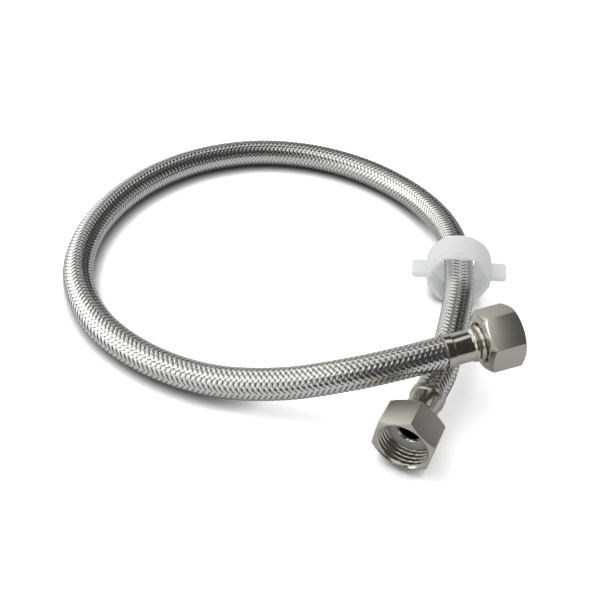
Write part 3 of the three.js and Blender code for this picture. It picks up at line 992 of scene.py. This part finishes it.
class HOSE_OT_wing_sleeve(BuildBase, bpy.types.Operator):
    """Builds the loose wing sleeve"""

    bl_idname = "hose.build_wing_sleeve"
    bl_label = "Wing sleeve"

    def execute(self, context):
        sizes = context.scene.sleeve_sizes
        plastic = plastic_material(context.scene.hose_finishes)
        bm = shaped_columns(SLEEVE_COLUMNS, lambda angle: self.column(sizes, angle))
        corners_to_wings = Matrix.Rotation(HALF_SIDE, 3, "Z")
        bmesh.ops.rotate(bm, verts=bm.verts, cent=(0, 0, 0), matrix=corners_to_wings)
        drum = finished_object("wing_sleeve_detailed", bm, [plastic])
        wings = finished_object("sleeve_wings", self.wings(sizes), [plastic])
        union = drum.modifiers.new("wings", "BOOLEAN")
        union.operation = "UNION"
        union.solver = "EXACT"
        union.object = wings
        evaluated = drum.evaluated_get(context.evaluated_depsgraph_get())
        joined = bpy.data.meshes.new_from_object(evaluated)
        drum.modifiers.clear()
        drum.data = joined
        bpy.data.objects.remove(wings)
        turn = Matrix.Rotation(math.radians(SLEEVE_TURN), 4, "Z")
        slide = Matrix.Translation((0, 0, -sizes.length / 2))
        joined.transform(axis_frame(SLEEVE_MIDDLE, SLEEVE_HEADING, 0) @ slide @ turn)
        edge = drum.modifiers.new("soft_edges", "BEVEL")
        edge.limit_method = "ANGLE"
        edge.angle_limit = SOFT_EDGE_ANGLE
        edge.width = SOFT_EDGE_WIDTH
        edge.segments = SOFT_EDGE_STEPS
        joined.set_sharp_from_angle(angle=math.radians(SHARP_ANGLE))
        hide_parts("wing_sleeve")
        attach(drum, "hose")
        return {"FINISHED"}

    def column(self, sizes, angle):
        """Profile of the drum, collar and socket at one angle, from the middle of a flat"""
        collar = hexagon_radius(angle, sizes.collar, COLLAR_CORNER)
        collar = min(collar, sizes.radius - sizes.collar_step)
        socket = hexagon_radius(angle, sizes.socket, SOCKET_CORNER)
        top = sizes.length - sizes.collar_length
        points = [(sizes.hole, 0.0), (sizes.radius, 0.0)]
        for step in range(SHOULDER_STEPS + 1):
            fall = (1 - math.cos(math.pi * step / SHOULDER_STEPS)) / 2
            height = top - sizes.shoulder * (1 - step / SHOULDER_STEPS)
            points.append((sizes.radius + (collar - sizes.radius) * fall, height))
        points.extend([
            (collar, sizes.length), (socket, sizes.length), (socket, sizes.web), (sizes.hole, sizes.web),
        ])
        return points

    def wings(self, sizes):
        """Two flat wings with rounded tips, from inside the drum's wall"""
        bm = bmesh.new()
        inner = sizes.radius - WING_ROOT
        reach = sizes.wing_reach - inner
        for side in (1, -1):
            made = bmesh.ops.create_cube(bm, size=1.0)["verts"]
            bmesh.ops.scale(bm, verts=made, vec=(reach, sizes.wing_thickness, sizes.wing_length))
            centre = (side * (inner + reach / 2), 0, sizes.wing_back + sizes.wing_length / 2)
            bmesh.ops.translate(bm, verts=made, vec=centre)
            tips = [
                edge for edge in {e for v in made for e in v.link_edges}
                if all(v.co.x * side > inner + reach / 2 for v in edge.verts)
                and abs(edge.verts[0].co.y - edge.verts[1].co.y) > sizes.wing_thickness / 2
            ]
            bmesh.ops.bevel(
                bm, geom=tips, offset=WING_CORNER, offset_type="OFFSET", segments=WING_CORNER_STEPS,
                profile=0.5, affect="EDGES", material=-1,
            )
        bmesh.ops.recalc_face_normals(bm, faces=bm.faces)
        return bm


class HOSE_OT_declare(BuildBase, bpy.types.Operator):
    bl_idname = "hose.declare_hose"
    bl_label = "Declare the hose"

    def execute(self, context):
        line = HoseLine()
        values = np.linspace(0, line.total, PATH_POINTS)
        path = [tuple(float(v) for v in row) for row in line.sample(values)[0]]
        return {"FINISHED"}


class HOSE_OT_stage(BuildBase, bpy.types.Operator):
    """Builds the pale floor, the studio light and the camera"""

    bl_idname = "hose.build_stage"
    bl_label = "Stage"

    def execute(self, context):
        self.floor(context)
        self.sky(context)
        self.lamps(context)
        self.camera(context)
        context.scene.view_settings.view_transform = "Standard"
        return {"FINISHED"}

    def floor(self, context):
        """A wide pale floor, with a painted contact shadow where it almost touches the hose.

        Its tint runs from black to twice its colour, so half of the range is the colour itself."""
        bm = bmesh.new()
        bmesh.ops.create_grid(bm, x_segments=1, y_segments=1, size=FLOOR_SIZE)
        material, graph = new_material("pale_floor")
        finishes = context.scene.hose_finishes
        path = graph.node("ShaderNodeLightPath")
        level = 1.0 + path["Is Camera Ray"] * finishes.floor_seen
        level = level - path["Is Glossy Ray"] * finishes.floor_mirrored
        # Painted shadow: ambient occlusion darkens the floor's colour where it nears the hose and fittings
        near = graph.node("ShaderNodeAmbientOcclusion", {"samples": 8}, {"Distance": PAINTED_SHADOW_REACH})["AO"]
        twice = tuple(2 * c for c in finishes.floor)
        tint = graph.mixed(level * near * 0.5, (0, 0, 0), twice)
        graph.end_in(graph.node("ShaderNodeBsdfDiffuse", {}, {"Color": tint})["BSDF"])
        floor = finished_object("floor", bm, [material])
        floor.location.z = FLOOR_PLACE

    def sky(self, context):
        """White to the camera, panels in a dark studio to gloss, and light from the left to the rest"""
        world = bpy.data.worlds.new("studio")
        context.scene.world = world
        graph = Graph(world)
        direction = graph.node("ShaderNodeTexCoord")["Generated"]
        parts = graph.node("ShaderNodeSeparateXYZ", {}, {0: direction})
        walls = STUDIO_DARK
        for panel in PANELS:
            walls = self.panel(graph, direction, *panel) + walls
        lit = AMBIENT_LEVEL - parts["X"] * AMBIENT_LEAN
        path = graph.node("ShaderNodeLightPath")
        seen = graph.background((1, 1, 1), 1.0)
        mirrored = graph.background(PANEL_COLOUR, walls)
        ambient = graph.background((1, 1, 1), lit)
        plain = graph.blended(path["Is Glossy Ray"], ambient, mirrored)
        whole = graph.blended(path["Is Camera Ray"], plain, seen)
        graph.end_in(whole, "ShaderNodeOutputWorld")

    def panel(self, graph, direction, heading, elevation, half_width, half_height, brightness):
        """Brightness of one soft-edged panel in a direction"""
        turn = axis_frame((0, 0, 0), heading, elevation).to_3x3()
        sideways, upward, towards = (graph.dotted(direction, axis) for axis in turn.col)
        soft = PANEL_SOFTNESS
        wide = (math.sin(math.radians(half_width)) + soft / 2 - abs(sideways)) / soft
        high = (math.sin(math.radians(half_height)) + soft / 2 - abs(upward)) / soft
        front = (towards * PANEL_FRONT).clamped()
        return wide.clamped() * high.clamped() * front * brightness

    def lamps(self, context):
        """A soft lamp high at the left"""
        data = bpy.data.lights.new("soft_lamp", "AREA")
        data.shape = "SQUARE"
        data.size = LAMP_SIZE
        data.energy = LAMP_POWER
        lamp = bpy.data.objects.new("soft_lamp", data)
        lamp.location = LAMP_PLACE
        lamp.rotation_mode = "QUATERNION"
        lamp.rotation_quaternion = (Vector((0, 0, 0)) - lamp.location).to_track_quat("-Z", "Y")
        lamp.visible_glossy = False
        context.scene.collection.objects.link(lamp)

    def camera(self, context):
        """The camera, turned a little about its own line of sight"""
        heading = math.radians(CAMERA_HEADING)
        drop = math.radians(CAMERA_DROP)
        roll = math.radians(CAMERA_ROLL)
        right = Vector((math.cos(heading), math.sin(heading), 0))
        level = Vector((-math.sin(heading), math.cos(heading), 0))
        up = Vector((0, 0, 1))
        ahead = level * math.cos(drop) - up * math.sin(drop)
        above = level * math.sin(drop) + up * math.cos(drop)
        x = right * math.cos(roll) + above * math.sin(roll)
        y = above * math.cos(roll) - right * math.sin(roll)
        data = bpy.data.cameras.new("camera")
        data.sensor_width = SENSOR_WIDTH
        data.lens = SENSOR_WIDTH * FOCAL_PIXELS / PICTURE_WIDTH
        data.clip_start = 0.01
        camera = bpy.data.objects.new("camera", data)
        turn = Matrix((x, y, -ahead)).transposed().to_4x4()
        camera.matrix_world = Matrix.Translation(CAMERA_PLACE) @ turn
        context.scene.collection.objects.link(camera)
        context.scene.camera = camera


class HOSE_PT_panel(bpy.types.Panel):
    """Lists the hose's build steps and its sizes"""

    bl_label = "Braided hose"
    bl_idname = "HOSE_PT_panel"
    bl_space_type = "VIEW_3D"
    bl_region_type = "UI"
    bl_category = "Hose"

    def draw(self, context):
        layout = self.layout
        for operator in BUILD_STEPS:
            layout.operator(operator.bl_idname)
        for name in POINTERS:
            group = getattr(context.scene, name)
            box = layout.box()
            for key in group.__annotations__:
                box.prop(group, key)


POINTERS = {
    "hose_sizes": HoseSizes,
    "fitting_sizes": FittingSizes,
    "sleeve_sizes": SleeveSizes,
    "hose_finishes": Finishes,
}
BUILD_STEPS = [
    HOSE_OT_stage, HOSE_OT_braid, HOSE_OT_fittings, HOSE_OT_nuts, HOSE_OT_wing_sleeve, HOSE_OT_declare,
]


def register():
    for group in POINTERS.values():
        bpy.utils.register_class(group)
    for name, group in POINTERS.items():
        setattr(bpy.types.Scene, name, PointerProperty(type=group))
    for operator in BUILD_STEPS:
        bpy.utils.register_class(operator)
    bpy.utils.register_class(HOSE_PT_panel)


def unregister():
    bpy.utils.unregister_class(HOSE_PT_panel)
    for operator in reversed(BUILD_STEPS):
        bpy.utils.unregister_class(operator)
    for name in POINTERS:
        delattr(bpy.types.Scene, name)
    for group in POINTERS.values():
        bpy.utils.unregister_class(group)


def main():
    register()
    for operator in BUILD_STEPS:
        group, step = operator.bl_idname.split(".")
        getattr(getattr(bpy.ops, group), step)()


if __name__ == "__main__":
    main()
